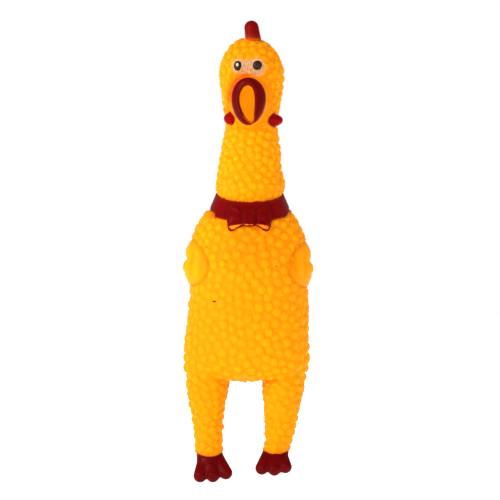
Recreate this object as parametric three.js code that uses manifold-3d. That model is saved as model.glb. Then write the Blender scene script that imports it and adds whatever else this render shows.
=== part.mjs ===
// A hollow squeeze-and-scream rubber chicken: a soft vinyl skin in segments, its moulded-on
// comb, beak, wattles, collar, bow tie, wings and feet, and the two-way voice unit in the throat.
// Millimetres, +Z up, the face towards -Y. The bird's left is +X. The origin is the middle of the
// torso, where a hand goes round it.
import * as THREE from 'three';
import { mergeVertices } from 'three/addons/utils/BufferGeometryUtils.js';
import Module from 'manifold-3d';

const wasm = await Module();
wasm.setup();

// ---------------------------------------------------------------- driving dimensions
const GAP = 0.3; // between pieces that touch
const SKIN_WALL = 2.4;
const ROUND = 24; // sides of a round section
const SECTION_POWER = 2.15; // 2 is an ellipse, more is squarer

// The outline of the whole body, from the crotch to the crown: height, half width, reach to the
// front and reach to the back.
const OUTLINE = [
  [-54.4, 36.0, 17.0, 17.0],
  [-51.0, 39.4, 21.5, 21.0],
  [-44.0, 40.8, 25.0, 23.5],
  [-32.0, 41.2, 28.5, 25.0],
  [-15.0, 40.0, 31.5, 26.0],
  [0.0, 38.8, 33.5, 26.5],
  [12.0, 39.0, 34.0, 27.0],
  [24.0, 39.0, 33.0, 27.0],
  [34.0, 37.6, 31.0, 27.0],
  [45.0, 34.8, 29.0, 26.5],
  [54.0, 30.8, 26.5, 25.0],
  [60.0, 25.0, 23.0, 23.0],
  [66.0, 20.6, 20.2, 20.2],
  [72.0, 21.6, 21.2, 21.2],
  [80.0, 21.6, 21.2, 21.0],
  [92.0, 20.2, 19.8, 20.0],
  [105.0, 18.2, 18.0, 19.0],
  [117.0, 16.8, 17.0, 19.6],
  [127.0, 17.2, 17.6, 21.5],
  [134.0, 19.0, 18.2, 23.0],
  [146.0, 20.8, 19.0, 24.0],
  [154.0, 20.9, 19.0, 24.0],
  [161.0, 19.2, 17.8, 22.0],
  [167.0, 15.8, 15.0, 18.0],
  [171.0, 11.2, 11.0, 12.5],
  [174.0, 5.0, 5.0, 5.5],
];
const RING_STEP = 9; // height between the rings of a skin segment
const CROWN = OUTLINE.at(-1)[0];
const CROTCH = OUTLINE[0][0];
const NECKLINE = OUTLINE[12][0]; // the narrowest row above the body, where the collar sits

// Where the skin bends: each zone is a short sleeve between two stiffer segments.
const NECK_ZONE = [NECKLINE + 6, NECKLINE + 26];
const HEAD_ZONE = [CROWN - 70, CROWN - 57];
const HIP_ZONE_LENGTH = 15;
const ANKLE_ZONE = [CROTCH - 48.6, CROTCH - 37.6];

// The legs hang unevenly: each has its own place across, at the hip and at the ankle.
const LEG = {
  hipX: { left: 23.3, right: -27.4 }, ankleX: { left: 18, right: -26.2 }, hipRadius: 13.2, ankleRadius: 8.7,
};
const LEG_ROUND = 24;

const FOOT = { length: 17.5, toeSpread: 25.5, thick: 5.4, bevel: 1.4, toe: 4.7 };
const FOOT_TILT = { left: 40, right: 20 }; // degrees forward of straight down

const BELLY = { middle: -2, halfWidth: 27, halfHeight: 32 }; // the part of the front that a thumb presses

const HEAD_TURN = -4; // degrees; the face looks slightly to the bird's right
const BEAK = {
  middle: CROWN - 40.3,
  halfWidth: 11.6,
  halfHeight: 16,
  reach: 37,
  mouthHalfWidth: 5.6,
  mouthHalfHeight: 10.8,
  flare: 1.5, // how much wider the mouth is at its root than at the lip
  cornerSetBack: 5,
};
const COMB = { thick: 8.6, front: -9, back: 17, height: 14.5, root: 9 };
const WATTLE = { middle: BEAK.middle - 12.2, out: 17.6, front: 8.5, radii: [4.6, 4.2, 5.0] };
const PATCH = { middle: CROWN - 18, halfWidth: 12.4, halfHeight: 7.2, from: 0.3, thick: 0.6 };
const EYE = { middle: PATCH.middle + 1.2, apart: 13, radius: 2.9, sink: 0.9 };

const COLLAR = { middle: NECKLINE, tilt: 13, height: 11, topOver: 1.4, bottomOver: 2.2, depthShare: 0.97 };
const BOW = {
  halfWidth: 15.2, lobe: 7.4, knotHalfWidth: 4.2, knotHeight: 5.0, thick: 5.2, bevel: 1.2, drop: 9,
};
const WING = { middle: 24, back: 3, radii: [7.5, 17, 18], tilt: 14 };
const TAIL = { middle: -36, radii: [9, 13, 10], sink: 3 };
const BACK_PAD = { middle: 18, halfWidth: 14, halfHeight: 9, reach: 27.8 };

const BARREL = {
  radius: 13, wall: 1.6, bottom: NECK_ZONE[0] + 10, length: 24, flange: 14.6, flangeThick: 1.6,
};
const CAP = { thick: 2, spigot: 3, holeRadius: 2.1, holeCircle: 7, holes: 6 };
const PARTITION = { thick: 2, middle: BARREL.bottom + 12 };
const REED_TUBE = { radius: 3.6, bore: 2.3, flat: 1.2, length: 15, offset: 5.4, slot: [2.6, 8.4], end: 1.6 };
const TONGUE = { width: 4.6, length: 12.5, thick: 0.45, open: 5 }; // open: degrees off the tube's flat
const CLAMP = { length: 3.4, thick: 1.8 };
const SEAL = { bottom: BARREL.bottom + 11, length: 10 };

// ---------------------------------------------------------------- colours
const paint = (color, roughness) => new THREE.MeshStandardMaterial({ color, roughness, metalness: 0 });
const YELLOW = paint(0xffa800, 0.45);
const RED = paint(0x8a0a10, 0.35);
const PALE = paint(0xf0c9a0, 0.6);
const BLACK = paint(0x1c140f, 0.25);
const CLEAR_PLASTIC = paint(0xe8ecec, 0.3);
const WHITE_PLASTIC = paint(0xf2f2ee, 0.4);
const FOAM = paint(0x7a7a78, 0.9);

// ---------------------------------------------------------------- helpers
const rad = THREE.MathUtils.degToRad;

// A closed three.js geometry as a manifold-3d solid.
function solid(geometry) {
  const bare = geometry.index ? geometry.toNonIndexed() : geometry.clone();
  bare.deleteAttribute('normal');
  bare.deleteAttribute('uv');
  const merged = mergeVertices(bare, 1e-4);
  return new wasm.Manifold(new wasm.Mesh({
    numProp: 3,
    vertProperties: merged.attributes.position.array,
    triVerts: new Uint32Array(merged.index.array),
  }));
}

function geometryOf(made) {
  const mesh = made.getMesh();
  const points = new Float32Array(mesh.numVert * 3);
  for (let i = 0; i < mesh.numVert; i++) {
    points.set(mesh.vertProperties.subarray(i * mesh.numProp, i * mesh.numProp + 3), i * 3);
  }
  return new THREE.BufferGeometry()
    .setAttribute('position', new THREE.BufferAttribute(points, 3))
    .setIndex(new THREE.BufferAttribute(mesh.triVerts, 1));
}

// The biggest body of a cut, without the slivers that a boolean can leave.
const largest = (made) => made.decompose().sort((a, b) => b.volume() - a.volume())[0];

const group = new THREE.Group();
function add(name, shape, material) {
  const geometry = shape.isBufferGeometry ? shape : geometryOf(largest(shape));
  const mesh = new THREE.Mesh(geometry, material);
  mesh.name = name;
  group.add(mesh);
}

// Catmull-Rom interpolation of a column of OUTLINE at a height.
function smoothOutline(height, column) {
  const last = OUTLINE.length - 1;
  let i = 0;
  while (i < last - 1 && OUTLINE[i + 1][0] < height) i++;
  const row = (k) => OUTLINE[Math.min(Math.max(k, 0), last)];
  const [before, from, to, after] = [row(i - 1), row(i), row(i + 1), row(i + 2)];
  const t = (height - from[0]) / (to[0] - from[0]);
  const slopeFrom = (to[column] - before[column]) / (to[0] - before[0]) * (to[0] - from[0]);
  const slopeTo = (after[column] - from[column]) / (after[0] - from[0]) * (to[0] - from[0]);
  return (2 * t ** 3 - 3 * t ** 2 + 1) * from[column] + (t ** 3 - 2 * t ** 2 + t) * slopeFrom
    + (3 * t ** 2 - 2 * t ** 3) * to[column] + (t ** 3 - t ** 2) * slopeTo;
}

// Every slice of the body has its rings at these heights, so that neighbours share one surface.
const RING_HEIGHTS = [
  ...OUTLINE.map((row) => row[0]).filter((z) => z <= CROTCH + RING_STEP || z >= CROWN - RING_STEP * 1.5),
  ...Array.from(
    { length: Math.floor((CROWN - CROTCH) / RING_STEP) - 2 }, (_, i) => CROTCH + (i + 1.6) * RING_STEP,
  ),
].sort((a, b) => a - b);

// The body's size at any height: straight from one of those heights to the next.
function outlineAt(z, column) {
  const height = Math.min(Math.max(z, CROTCH), CROWN);
  const next = Math.max(1, RING_HEIGHTS.findIndex((h) => h >= height));
  const [from, to] = [RING_HEIGHTS[next - 1], RING_HEIGHTS[next]];
  return THREE.MathUtils.mapLinear(height, from, to, smoothOutline(from, column), smoothOutline(to, column));
}

// Rings of points, bottom to top and each anticlockwise from above, as one closed body.
function loft(rings) {
  const sides = rings[0].length;
  const points = rings.flat();
  const faces = [];
  for (let i = 0; i < rings.length - 1; i++) {
    for (let k = 0; k < sides; k++) {
      const [a, b] = [i * sides + k, i * sides + (k + 1) % sides];
      faces.push(a, b, b + sides, a, b + sides, a + sides);
    }
  }
  for (const [ring, start, up] of [[rings[0], 0, false], [rings.at(-1), points.length - sides, true]]) {
    const middle = ring.reduce((sum, p) => sum.add(p), new THREE.Vector3()).divideScalar(sides);
    const centre = points.push(middle) - 1;
    for (let k = 0; k < sides; k++) {
      const [a, b] = [start + k, start + (k + 1) % sides];
      faces.push(...(up ? [a, b, centre] : [b, a, centre]));
    }
  }
  return new THREE.BufferGeometry().setFromPoints(points).setIndex(faces);
}

// One ring of the body's outline at a height, grown by a distance (negative goes inwards).
function bodyRing(z, grow) {
  const [half, front, back] = [1, 2, 3].map((column) => Math.max(outlineAt(z, column) + grow, 1));
  return Array.from({ length: ROUND }, (_, k) => {
    const angle = 2 * Math.PI * k / ROUND;
    const [c, s] = [Math.cos(angle), Math.sin(angle)];
    const round = (v) => Math.sign(v) * Math.abs(v) ** (2 / SECTION_POWER);
    return new THREE.Vector3(half * round(c), (s < 0 ? front : back) * round(s), z);
  });
}

// The solid inside the outline from one height to another. Grown outwards it is taller too.
function bodySlice(bottom, top, grow = 0) {
  const between = RING_HEIGHTS.filter((z) => z > bottom + 0.1 && z < top - 0.1);
  return solid(loft([bottom, ...between, top].map((z) => bodyRing(z, grow))));
}

const whole = (grow) => {
  const lower = bodySlice(CROTCH, CROWN, grow);
  return grow > 0 ? lower.add(lower.translate([0, 0, grow])).add(lower.translate([0, 0, -grow])) : lower;
};

function placed(geometry, { at = [0, 0, 0], turn = [0, 0, 0] }) {
  const matrix = new THREE.Matrix4().makeRotationFromEuler(new THREE.Euler(...turn.map(rad)));
  return geometry.applyMatrix4(matrix.setPosition(...at));
}

const ball = ([x, y, z], place) => solid(placed(new THREE.SphereGeometry(1, 18, 12).scale(x, y, z), place));

const upright = (radius, bottom, length, sides = ROUND, x = 0, y = 0) => solid(placed(
  new THREE.CylinderGeometry(radius, radius, length, sides),
  { at: [x, y, bottom + length / 2], turn: [90, 0, 0] },
));

// An elliptical prism along Y, from y0 to y1, round a point of the XZ plane.
function prism(halfWidth, halfHeight, x, z, y0, y1, sides = ROUND) {
  const round = new THREE.CylinderGeometry(1, 1, y1 - y0, sides).scale(halfWidth, 1, halfHeight);
  return solid(round.translate(x, (y0 + y1) / 2, z));
}

const turnHead = (made) => made.rotate([0, 0, HEAD_TURN]);
const surface = whole(GAP);

// ---------------------------------------------------------------- the skin
const shell = (bottom, top, innerTop = top + 1, innerBottom = bottom - 1) =>
  bodySlice(bottom, top).subtract(bodySlice(innerBottom, innerTop, -SKIN_WALL));

const hipTop = CROTCH - GAP;
const legTop = hipTop - HIP_ZONE_LENGTH;
const legX = (name, z) => THREE.MathUtils.mapLinear(z, hipTop, ANKLE_ZONE[0], LEG.hipX[name], LEG.ankleX[name]);
const legRadius = (z) => THREE.MathUtils.mapLinear(z, hipTop, ANKLE_ZONE[0], LEG.hipRadius, LEG.ankleRadius);

const bellyPrism = (grow) => prism(
  BELLY.halfWidth + grow, BELLY.halfHeight + grow, 0, BELLY.middle, -60, -SKIN_WALL * 3, ROUND);

function torso() {
  const top = NECK_ZONE[0] - GAP;
  const pad = prism(
    BACK_PAD.halfWidth, BACK_PAD.halfHeight, 0, BACK_PAD.middle, BACK_PAD.reach - 6, BACK_PAD.reach,
  );
  const inside = bodySlice(CROTCH + SKIN_WALL, top + 1, -SKIN_WALL);
  const openHips = Object.values(LEG.hipX).map((x) => upright(
    LEG.hipRadius - SKIN_WALL, CROTCH - 1, SKIN_WALL + 6, LEG_ROUND, x));
  const closed = bodySlice(CROTCH, top).add(pad).subtract(inside);
  return openHips.reduce((made, hole) => made.subtract(hole), closed).subtract(bellyPrism(GAP));
}

// A hollow length of leg between two heights.
function legPiece(name, bottom, top) {
  const heights = [bottom, (bottom + top) / 2, top];
  const ring = (z, grow) => Array.from({ length: LEG_ROUND }, (_, k) => {
    const angle = 2 * Math.PI * k / LEG_ROUND;
    const radius = legRadius(z) + grow;
    return new THREE.Vector3(legX(name, z) + radius * Math.cos(angle), radius * Math.sin(angle), z);
  });
  const outside = solid(loft(heights.map((z) => ring(z, 0))));
  return outside.subtract(solid(loft([bottom - 1, top + 1].map((z) => ring(z, -SKIN_WALL)))));
}

// A paddle with three round toes, its top at the ankle and its toes hanging down and forward.
function foot(name) {
  const { length, toeSpread, thick, bevel, toe } = FOOT;
  const neck = LEG.ankleRadius - bevel - 0.4;
  const toeX = toeSpread / 2 - toe;
  const outline = new THREE.Shape();
  outline.moveTo(-neck, 0);
  outline.quadraticCurveTo(-neck, -length * 0.45, -toeX - toe + bevel, -length + toe * 1.5);
  for (const [x, low] of [[-toeX, 0], [0, 0.8], [toeX, 0]]) {
    const down = -length + toe - low;
    outline.absarc(x, down, toe - bevel, Math.PI * 1.05, Math.PI * 1.95, false);
  }
  outline.quadraticCurveTo(neck, -length * 0.45, neck, 0);
  outline.closePath();
  const paddle = new THREE.ExtrudeGeometry(outline, {
    depth: thick - 2 * bevel,
    bevelThickness: bevel,
    bevelSize: bevel,
    bevelSegments: 2,
    curveSegments: 3,
  }).translate(0, 0, -thick / 2 + bevel);
  const top = ANKLE_ZONE[0] - GAP;
  // The shape's own plane is XY and its thickness is along Z: stood up, then tipped forward.
  const tipped = solid(placed(paddle, { at: [0, 0, top - bevel], turn: [90 - FOOT_TILT[name], 0, 0] }));
  const ankle = ball([LEG.ankleRadius - 0.4, LEG.ankleRadius - 0.4, 6], { at: [0, 0, top - 2] });
  const below = upright(40, top - 80, 80, 4);
  return tipped.add(ankle).intersect(below).translate([legX(name, top), 0, 0]);
}

add('torso_skin', torso(), YELLOW);
add('belly_skin', shell(CROTCH, NECK_ZONE[0]).intersect(bellyPrism(0)), YELLOW);
add('neck_flex', shell(...NECK_ZONE), YELLOW);
add('neck_skin', shell(NECK_ZONE[1] + GAP, HEAD_ZONE[0] - GAP), YELLOW);
add('head_flex', shell(...HEAD_ZONE), YELLOW);

const mouthHole = turnHead(prism(
  BEAK.mouthHalfWidth + BEAK.flare + GAP, BEAK.mouthHalfHeight + BEAK.flare + GAP, 0, BEAK.middle, -60, 0));
add('head_skin', shell(HEAD_ZONE[1] + GAP, CROWN, CROWN - SKIN_WALL).subtract(mouthHole), YELLOW);

for (const name of ['left', 'right']) {
  add(`hip_flex_${name}`, legPiece(name, legTop, hipTop), YELLOW);
  add(`leg_${name}_skin`, legPiece(name, ANKLE_ZONE[1] + GAP, legTop - GAP), YELLOW);
  add(`ankle_flex_${name}`, legPiece(name, ANKLE_ZONE[0], ANKLE_ZONE[1]), YELLOW);
  add(`foot_${name}`, foot(name), RED);
}

// ---------------------------------------------------------------- what is moulded onto the skin
// The lip is a ring that stands forward at the top and bottom and back at the mouth's corners.
function beak() {
  const { halfWidth, halfHeight, mouthHalfWidth, mouthHalfHeight, flare, reach, middle, cornerSetBack } = BEAK;
  const ring = (wide, high, y) => Array.from({ length: ROUND }, (_, k) => {
    const angle = -2 * Math.PI * k / ROUND;
    const [x, z] = [wide * Math.cos(angle), high * Math.sin(angle)];
    const out = y < -outlineAt(middle, 2) ? cornerSetBack * Math.cos(angle) ** 2 : 0;
    return new THREE.Vector3(x, y + out, middle + z);
  });
  const root = -outlineAt(middle, 2) + SKIN_WALL * 2;
  const outside = [
    ring(halfWidth - 2.2, halfHeight - 0.2, -reach), ring(halfWidth - 0.7, halfHeight, -reach + 1.2),
    ring(halfWidth, halfHeight, -reach + 3.4), ring(halfWidth - 0.8, halfHeight - 0.8, root),
  ];
  const inside = [
    ring(mouthHalfWidth, mouthHalfHeight, -reach - 1),
    ring(mouthHalfWidth + flare, mouthHalfHeight + flare, root + 1),
  ];
  return turnHead(solid(loft(outside)).subtract(solid(loft(inside)))).subtract(surface);
}

// A fin in the middle plane with three rounded points, taller at the back.
function comb() {
  const { front, back, height, root, thick } = COMB;
  const points = [
    [front, 0.2], [front + 1, 0.75], [front + 4.5, 1], [front + 8, 0.72], [front + 12, 0.96],
    [front + 16, 0.62], [back - 5, 0.7], [back, 0.3],
  ].map(([y, share]) => new THREE.Vector2(y, share * height));
  const outline = new THREE.Shape();
  outline.moveTo(front, -root);
  outline.lineTo(points[0].x, points[0].y);
  outline.splineThru(points.slice(1));
  outline.lineTo(back, -root);
  outline.closePath();
  const bevel = thick / 3;
  const fin = new THREE.ExtrudeGeometry(outline, {
    depth: thick - 2 * bevel, bevelThickness: bevel, bevelSize: bevel / 2,
    bevelSegments: 2, curveSegments: 3,
  }).translate(0, 0, -thick / 2 + bevel);
  // The outline's x runs along Y and its y along Z.
  const stood = fin.applyMatrix4(new THREE.Matrix4().makeBasis(
    new THREE.Vector3(0, 1, 0), new THREE.Vector3(0, 0, 1), new THREE.Vector3(1, 0, 0)));
  return turnHead(solid(stood.translate(0, 0, CROWN - 0.8))).subtract(surface);
}

const patchLayer = (grow) => bodySlice(
  PATCH.middle - PATCH.halfHeight * 2, PATCH.middle + PATCH.halfHeight * 2, grow,
);
const facePatch = patchLayer(PATCH.from + PATCH.thick).subtract(patchLayer(PATCH.from))
  .intersect(turnHead(prism(PATCH.halfWidth, PATCH.halfHeight, 0, PATCH.middle, -60, -4)));

const beakSolid = beak();
const beakRoom = turnHead(prism(BEAK.halfWidth + GAP, BEAK.halfHeight + GAP, 0, BEAK.middle, -60, 0));
add('comb', comb(), RED);
add('beak', beakSolid, RED);
add('face_patch', facePatch.subtract(beakRoom), PALE);

const eyeSeat = whole(PATCH.from + PATCH.thick + GAP);
for (const [name, side] of [['left', 1], ['right', -1]]) {
  const eyeX = side * EYE.apart / 2;
  const eyeY = -outlineAt(EYE.middle, 2) * Math.sqrt(1 - (eyeX / outlineAt(EYE.middle, 1)) ** 2) + EYE.sink;
  add(`eye_${name}`, turnHead(ball(Array(3).fill(EYE.radius), { at: [eyeX, eyeY, EYE.middle] }))
    .subtract(eyeSeat), BLACK);
  add(`wattle_${name}`, turnHead(ball(WATTLE.radii, { at: [side * WATTLE.out, -WATTLE.front, WATTLE.middle] }))
    .subtract(surface).subtract(beakRoom), RED);
  add(`wing_${name}`, ball(WING.radii, {
    at: [side * (outlineAt(WING.middle, 1) - 2), WING.back, WING.middle], turn: [WING.tilt, 0, 0],
  }).subtract(surface), YELLOW);
}
const tailMiddle = [0, outlineAt(TAIL.middle, 3) - TAIL.sink, TAIL.middle];
add('tail', ball(TAIL.radii, { at: tailMiddle }).subtract(surface), YELLOW);

// A band wider at its lower edge, tipped so that its front hangs lower than its back.
const collarTop = outlineAt(COLLAR.middle + COLLAR.height / 2, 1) + COLLAR.topOver;
const collarBottom = outlineAt(COLLAR.middle - COLLAR.height / 2, 1) + COLLAR.bottomOver;
const collarCone = (grow) => solid(placed(new THREE.CylinderGeometry(
  collarTop + grow, collarBottom + grow, COLLAR.height + 2 * grow, ROUND + 12,
).scale(1, 1, COLLAR.depthShare), { at: [0, 0, COLLAR.middle], turn: [90 + COLLAR.tilt, 0, 0] }));
add('collar_band', collarCone(0).subtract(surface), RED);

// Two lobes and a knot, cut to lie on the collar.
function bowTie() {
  const { halfWidth, lobe, knotHalfWidth, knotHeight, thick, bevel, drop } = BOW;
  const [wide, tall, knotX, knotY] = [halfWidth, lobe, knotHalfWidth, knotHeight].map((v) => v - bevel);
  const outline = new THREE.Shape();
  outline.moveTo(knotX, knotY);
  outline.quadraticCurveTo(wide * 0.6, tall * 0.9, wide * 0.9, tall);
  outline.quadraticCurveTo(wide * 1.05, 0, wide * 0.9, -tall);
  outline.quadraticCurveTo(wide * 0.6, -tall * 0.9, knotX, -knotY);
  outline.lineTo(-knotX, -knotY);
  outline.quadraticCurveTo(-wide * 0.6, -tall * 0.9, -wide * 0.9, -tall);
  outline.quadraticCurveTo(-wide * 1.05, 0, -wide * 0.9, tall);
  outline.quadraticCurveTo(-wide * 0.6, tall * 0.9, -knotX, knotY);
  outline.closePath();
  const reach = collarBottom + thick;
  const slab = new THREE.ExtrudeGeometry(outline, {
    depth: reach - 12, bevelThickness: bevel, bevelSize: bevel, bevelSegments: 2, curveSegments: 6,
  }).translate(0, 0, 12 - bevel);
  // The outline's plane stands up and its thickness runs forward.
  const stood = placed(slab, { at: [0, 0, COLLAR.middle - drop], turn: [90, 0, 0] });
  const front = (grow) => prism(1.35 * halfWidth, 1.6 * lobe, 0, COLLAR.middle - drop, -reach - grow, 0);
  return solid(stood).intersect(front(0)).subtract(collarCone(GAP)).subtract(surface);
}
add('bow_tie', bowTie(), RED);

// ---------------------------------------------------------------- the voice unit in the throat
function voiceUnit() {
  const inner = BARREL.radius - BARREL.wall;
  const barrelTop = BARREL.bottom + BARREL.length;
  const tube = upright(BARREL.radius, BARREL.bottom, BARREL.length)
    .add(upright(BARREL.flange, BARREL.bottom, BARREL.flangeThick));
  add('squeaker_barrel', tube.subtract(upright(inner, BARREL.bottom - 1, BARREL.length + 2)), WHITE_PLASTIC);

  const sealRoom = bodySlice(SEAL.bottom, SEAL.bottom + SEAL.length, -SKIN_WALL - GAP);
  add('throat_seal', sealRoom.subtract(upright(BARREL.radius + GAP, SEAL.bottom - 1, SEAL.length + 2)), FOAM);

  const plate = upright(BARREL.radius, barrelTop + GAP, CAP.thick);
  const spigot = upright(inner - GAP, barrelTop + GAP - CAP.spigot, CAP.spigot + 1)
    .subtract(upright(inner - GAP - 1.4, barrelTop - CAP.spigot - 1, CAP.spigot + 1 + GAP));
  let cap = plate.add(spigot).subtract(upright(CAP.holeRadius, barrelTop - 1, CAP.thick + 2, 12));
  for (let i = 0; i < CAP.holes; i++) {
    const angle = 2 * Math.PI * i / CAP.holes;
    const [x, y] = [CAP.holeCircle * Math.cos(angle), CAP.holeCircle * Math.sin(angle)];
    cap = cap.subtract(upright(CAP.holeRadius, barrelTop - 1, CAP.thick + 2, 12, x, y));
  }
  add('squeaker_cap', cap, WHITE_PLASTIC);

  const low = PARTITION.middle - PARTITION.thick / 2;
  let partition = upright(inner - GAP, low, PARTITION.thick);
  for (const side of [-1, 1]) {
    const hole = upright(REED_TUBE.radius + GAP, low - 1, PARTITION.thick + 2, 24, 0, side * REED_TUBE.offset);
    partition = partition.subtract(hole);
  }
  add('squeaker_partition', partition, WHITE_PLASTIC);

  reed('out', 1);
  reed('in', -1);
}

// One reed: a tube with a flat, slotted side, a thin tongue over the slot and the clamp on its root.
// The outward one stands up through the partition, and the inward one is the same upside down.
function reed(name, up) {
  const { radius, bore, flat, length, offset, slot, end } = REED_TUBE;
  const keep = 3; // how far the tube's open end stands through the partition
  const box = (x, y, z, at) => solid(new THREE.BoxGeometry(x, y, z).translate(...at));
  const place = (made) => {
    const stood = up > 0 ? made : made.rotate([180, 0, 0]);
    return stood.translate([0, up * offset, PARTITION.middle]);
  };
  const tube = upright(radius, -keep, length, 24)
    .subtract(box(radius, radius * 4, length * 3, [flat + radius / 2, 0, 0])
      .intersect(box(radius * 4, radius * 4, length, [0, 0, length / 2 + PARTITION.thick / 2])))
    .subtract(upright(bore, -keep - 1, length - end + 1, 16))
    .subtract(box(radius * 2, slot[0], slot[1], [radius, 0, length - keep - end - slot[1] / 2]));
  add(`reed_tube_${name}`, place(tube), CLEAR_PLASTIC);

  // The tongue's root is by the tube's closed end at the top, and its free tip points down.
  const rootZ = length - keep - 0.6;
  const seat = flat + GAP;
  const blade = new THREE.BoxGeometry(TONGUE.thick, TONGUE.width, TONGUE.length)
    .translate(TONGUE.thick / 2, 0, -TONGUE.length / 2)
    .rotateY(rad(-TONGUE.open))
    .translate(seat + 0.1, 0, rootZ);
  const tooLow = PARTITION.thick / 2 + GAP;
  const tongue = solid(blade).intersect(box(20, 20, 40, [0, 0, tooLow + 20]));
  add(`reed_tongue_${name}`, place(tongue), CLEAR_PLASTIC);

  const clampX = seat + TONGUE.thick + GAP + 0.5;
  const clampMiddle = [clampX + CLAMP.thick / 2, 0, rootZ - CLAMP.length / 2];
  const clamp = box(CLAMP.thick, TONGUE.width, CLAMP.length, clampMiddle);
  add(`reed_clamp_${name}`, place(clamp), WHITE_PLASTIC);
}
voiceUnit();

export default group;
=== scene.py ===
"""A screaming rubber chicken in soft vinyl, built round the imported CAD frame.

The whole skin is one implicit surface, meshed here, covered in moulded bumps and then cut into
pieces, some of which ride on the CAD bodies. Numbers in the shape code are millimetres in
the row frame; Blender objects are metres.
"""
import math

import bpy
import numpy as np
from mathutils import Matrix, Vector, kdtree


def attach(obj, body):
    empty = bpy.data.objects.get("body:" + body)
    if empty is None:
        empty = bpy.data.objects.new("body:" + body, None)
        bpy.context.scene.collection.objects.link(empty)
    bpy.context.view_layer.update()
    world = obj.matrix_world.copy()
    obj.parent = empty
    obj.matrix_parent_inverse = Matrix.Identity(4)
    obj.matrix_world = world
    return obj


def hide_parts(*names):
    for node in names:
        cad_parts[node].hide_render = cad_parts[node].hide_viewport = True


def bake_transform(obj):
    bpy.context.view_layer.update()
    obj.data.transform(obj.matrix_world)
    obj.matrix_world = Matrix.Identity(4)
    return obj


MM = 0.001
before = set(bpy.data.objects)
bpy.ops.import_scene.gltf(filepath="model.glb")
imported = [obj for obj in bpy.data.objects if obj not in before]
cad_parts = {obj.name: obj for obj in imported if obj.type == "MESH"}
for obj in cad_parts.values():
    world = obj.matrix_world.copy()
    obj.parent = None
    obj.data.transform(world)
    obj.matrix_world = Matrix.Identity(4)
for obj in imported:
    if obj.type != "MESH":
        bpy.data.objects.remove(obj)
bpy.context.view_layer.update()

# ------------------------------------------------------------------ shape: sizes
CELL = 0.75  # spacing of the grid that the skin is meshed on
LOW = np.array([-49.0, -42.0, -126.0])
HIGH = np.array([49.0, 40.0, 191.0])
SECTION_POWER = 2.15

# Height, centre, half width, reach to the front, reach to the back.
BODY = np.array([
    (-53.4, -2.2, 2.0, 2.0, 2.0),
    (-53.0, -2.2, 16.0, 8.0, 8.0),
    (-52.2, -2.2, 27.0, 13.0, 12.5),
    (-50.6, -2.2, 34.0, 18.0, 17.5),
    (-48.0, -2.0, 38.4, 22.0, 21.0),
    (-43.0, -1.4, 40.7, 25.5, 23.5),
    (-35.0, -1.4, 41.2, 28.5, 25.0),
    (-27.0, -1.0, 40.7, 30.0, 25.6),
    (-16.0, -0.6, 40.0, 31.8, 26.0),
    (0.0, 0.1, 39.0, 33.5, 26.5),
    (12.0, 0.1, 38.6, 34.0, 27.0),
    (24.0, 0.1, 38.4, 33.0, 27.0),
    (34.0, 0.1, 38.0, 31.0, 27.0),
    (42.0, 0.0, 37.0, 29.6, 26.5),
    (48.3, -0.2, 34.4, 28.2, 26.0),
    (53.7, 0.0, 31.6, 26.0, 25.0),
    (58.6, 0.3, 28.4, 23.4, 24.0),
    (62.5, 0.5, 23.6, 21.2, 22.6),
    (66.0, 0.8, 21.4, 20.2, 21.0),
    (70.0, 1.0, 21.0, 20.4, 20.6),
    (73.0, 1.1, 21.9, 21.4, 21.2),
    (76.5, 1.2, 22.3, 21.8, 21.6),
    (81.0, 1.1, 21.6, 21.0, 21.2),
    (88.6, 0.9, 20.3, 19.8, 20.2),
    (99.0, 1.6, 19.0, 18.6, 19.4),
    (110.0, 1.8, 17.5, 17.4, 19.2),
    (116.0, 2.0, 16.7, 17.0, 19.6),
    (123.0, 2.0, 16.9, 17.4, 20.8),
    (131.0, 2.0, 18.4, 18.0, 22.4),
    (138.0, 2.1, 19.4, 18.4, 23.4),
    (147.0, 2.1, 20.6, 18.8, 24.0),
    (153.0, 2.2, 20.8, 18.8, 24.0),
    (158.0, 2.0, 19.8, 18.2, 23.0),
    (163.0, 1.9, 17.9, 16.8, 20.6),
    (167.0, 1.7, 15.6, 14.8, 17.6),
    (170.5, 1.5, 12.4, 11.8, 13.6),
    (173.3, 1.3, 8.4, 8.2, 9.2),
    (174.8, 1.2, 4.2, 4.2, 4.6),
    (175.3, 1.2, 1.0, 1.0, 1.0),
])

# Height, centre across and radius of each leg, from inside the torso to the ankle.
LEG = {
    "right": np.array([
        (-40.0, -26.4, 13.4), (-56.0, -27.3, 13.6), (-62.0, -27.6, 12.9), (-68.0, -27.6, 11.7),
        (-78.0, -27.4, 10.0), (-88.0, -27.0, 9.2), (-96.0, -26.8, 8.6), (-108.0, -26.0, 8.3),
    ]),
    "left": np.array([
        (-40.0, 24.2, 13.4), (-56.0, 23.6, 13.4), (-62.0, 23.1, 12.7), (-68.0, 22.6, 11.7),
        (-78.0, 21.8, 10.5), (-88.0, 21.0, 9.2), (-96.0, 19.8, 8.2), (-108.0, 17.5, 8.0),
    ]),
}
# Each foot: the ankle's middle and radius, and the middles of the three toe tips.
FOOT = {
    "right": {"ankle": (-26.2, 0.0, -104.5), "radius": 8.0,
              "toes": ((-32.4, -8.6, -117.4), (-23.8, -10.2, -117.2), (-15.2, -8.8, -115.4)), "toe": 4.5,
              "paint": -101.9},
    "left": {"ankle": (18.3, 0.0, -101.5), "radius": 7.4,
             "toes": ((8.9, -10.4, -112.2), (17.3, -12.0, -112.8), (24.6, -10.6, -111.2)), "toe": 4.4,
             "paint": -100.3},
}

HEAD_TURN = math.radians(4)  # the face looks slightly to the bird's right
HEAD_AXIS_X = 2.0
BEAK_Z = 132.3
BEAK_HALF = (11.8, 16.1)
BEAK_REACH = 36.6
MOUTH_DROP = 1.4
MOUTH_HALF = (5.0, 11.7)
MOUTH_DEPTH = 20.0
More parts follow.
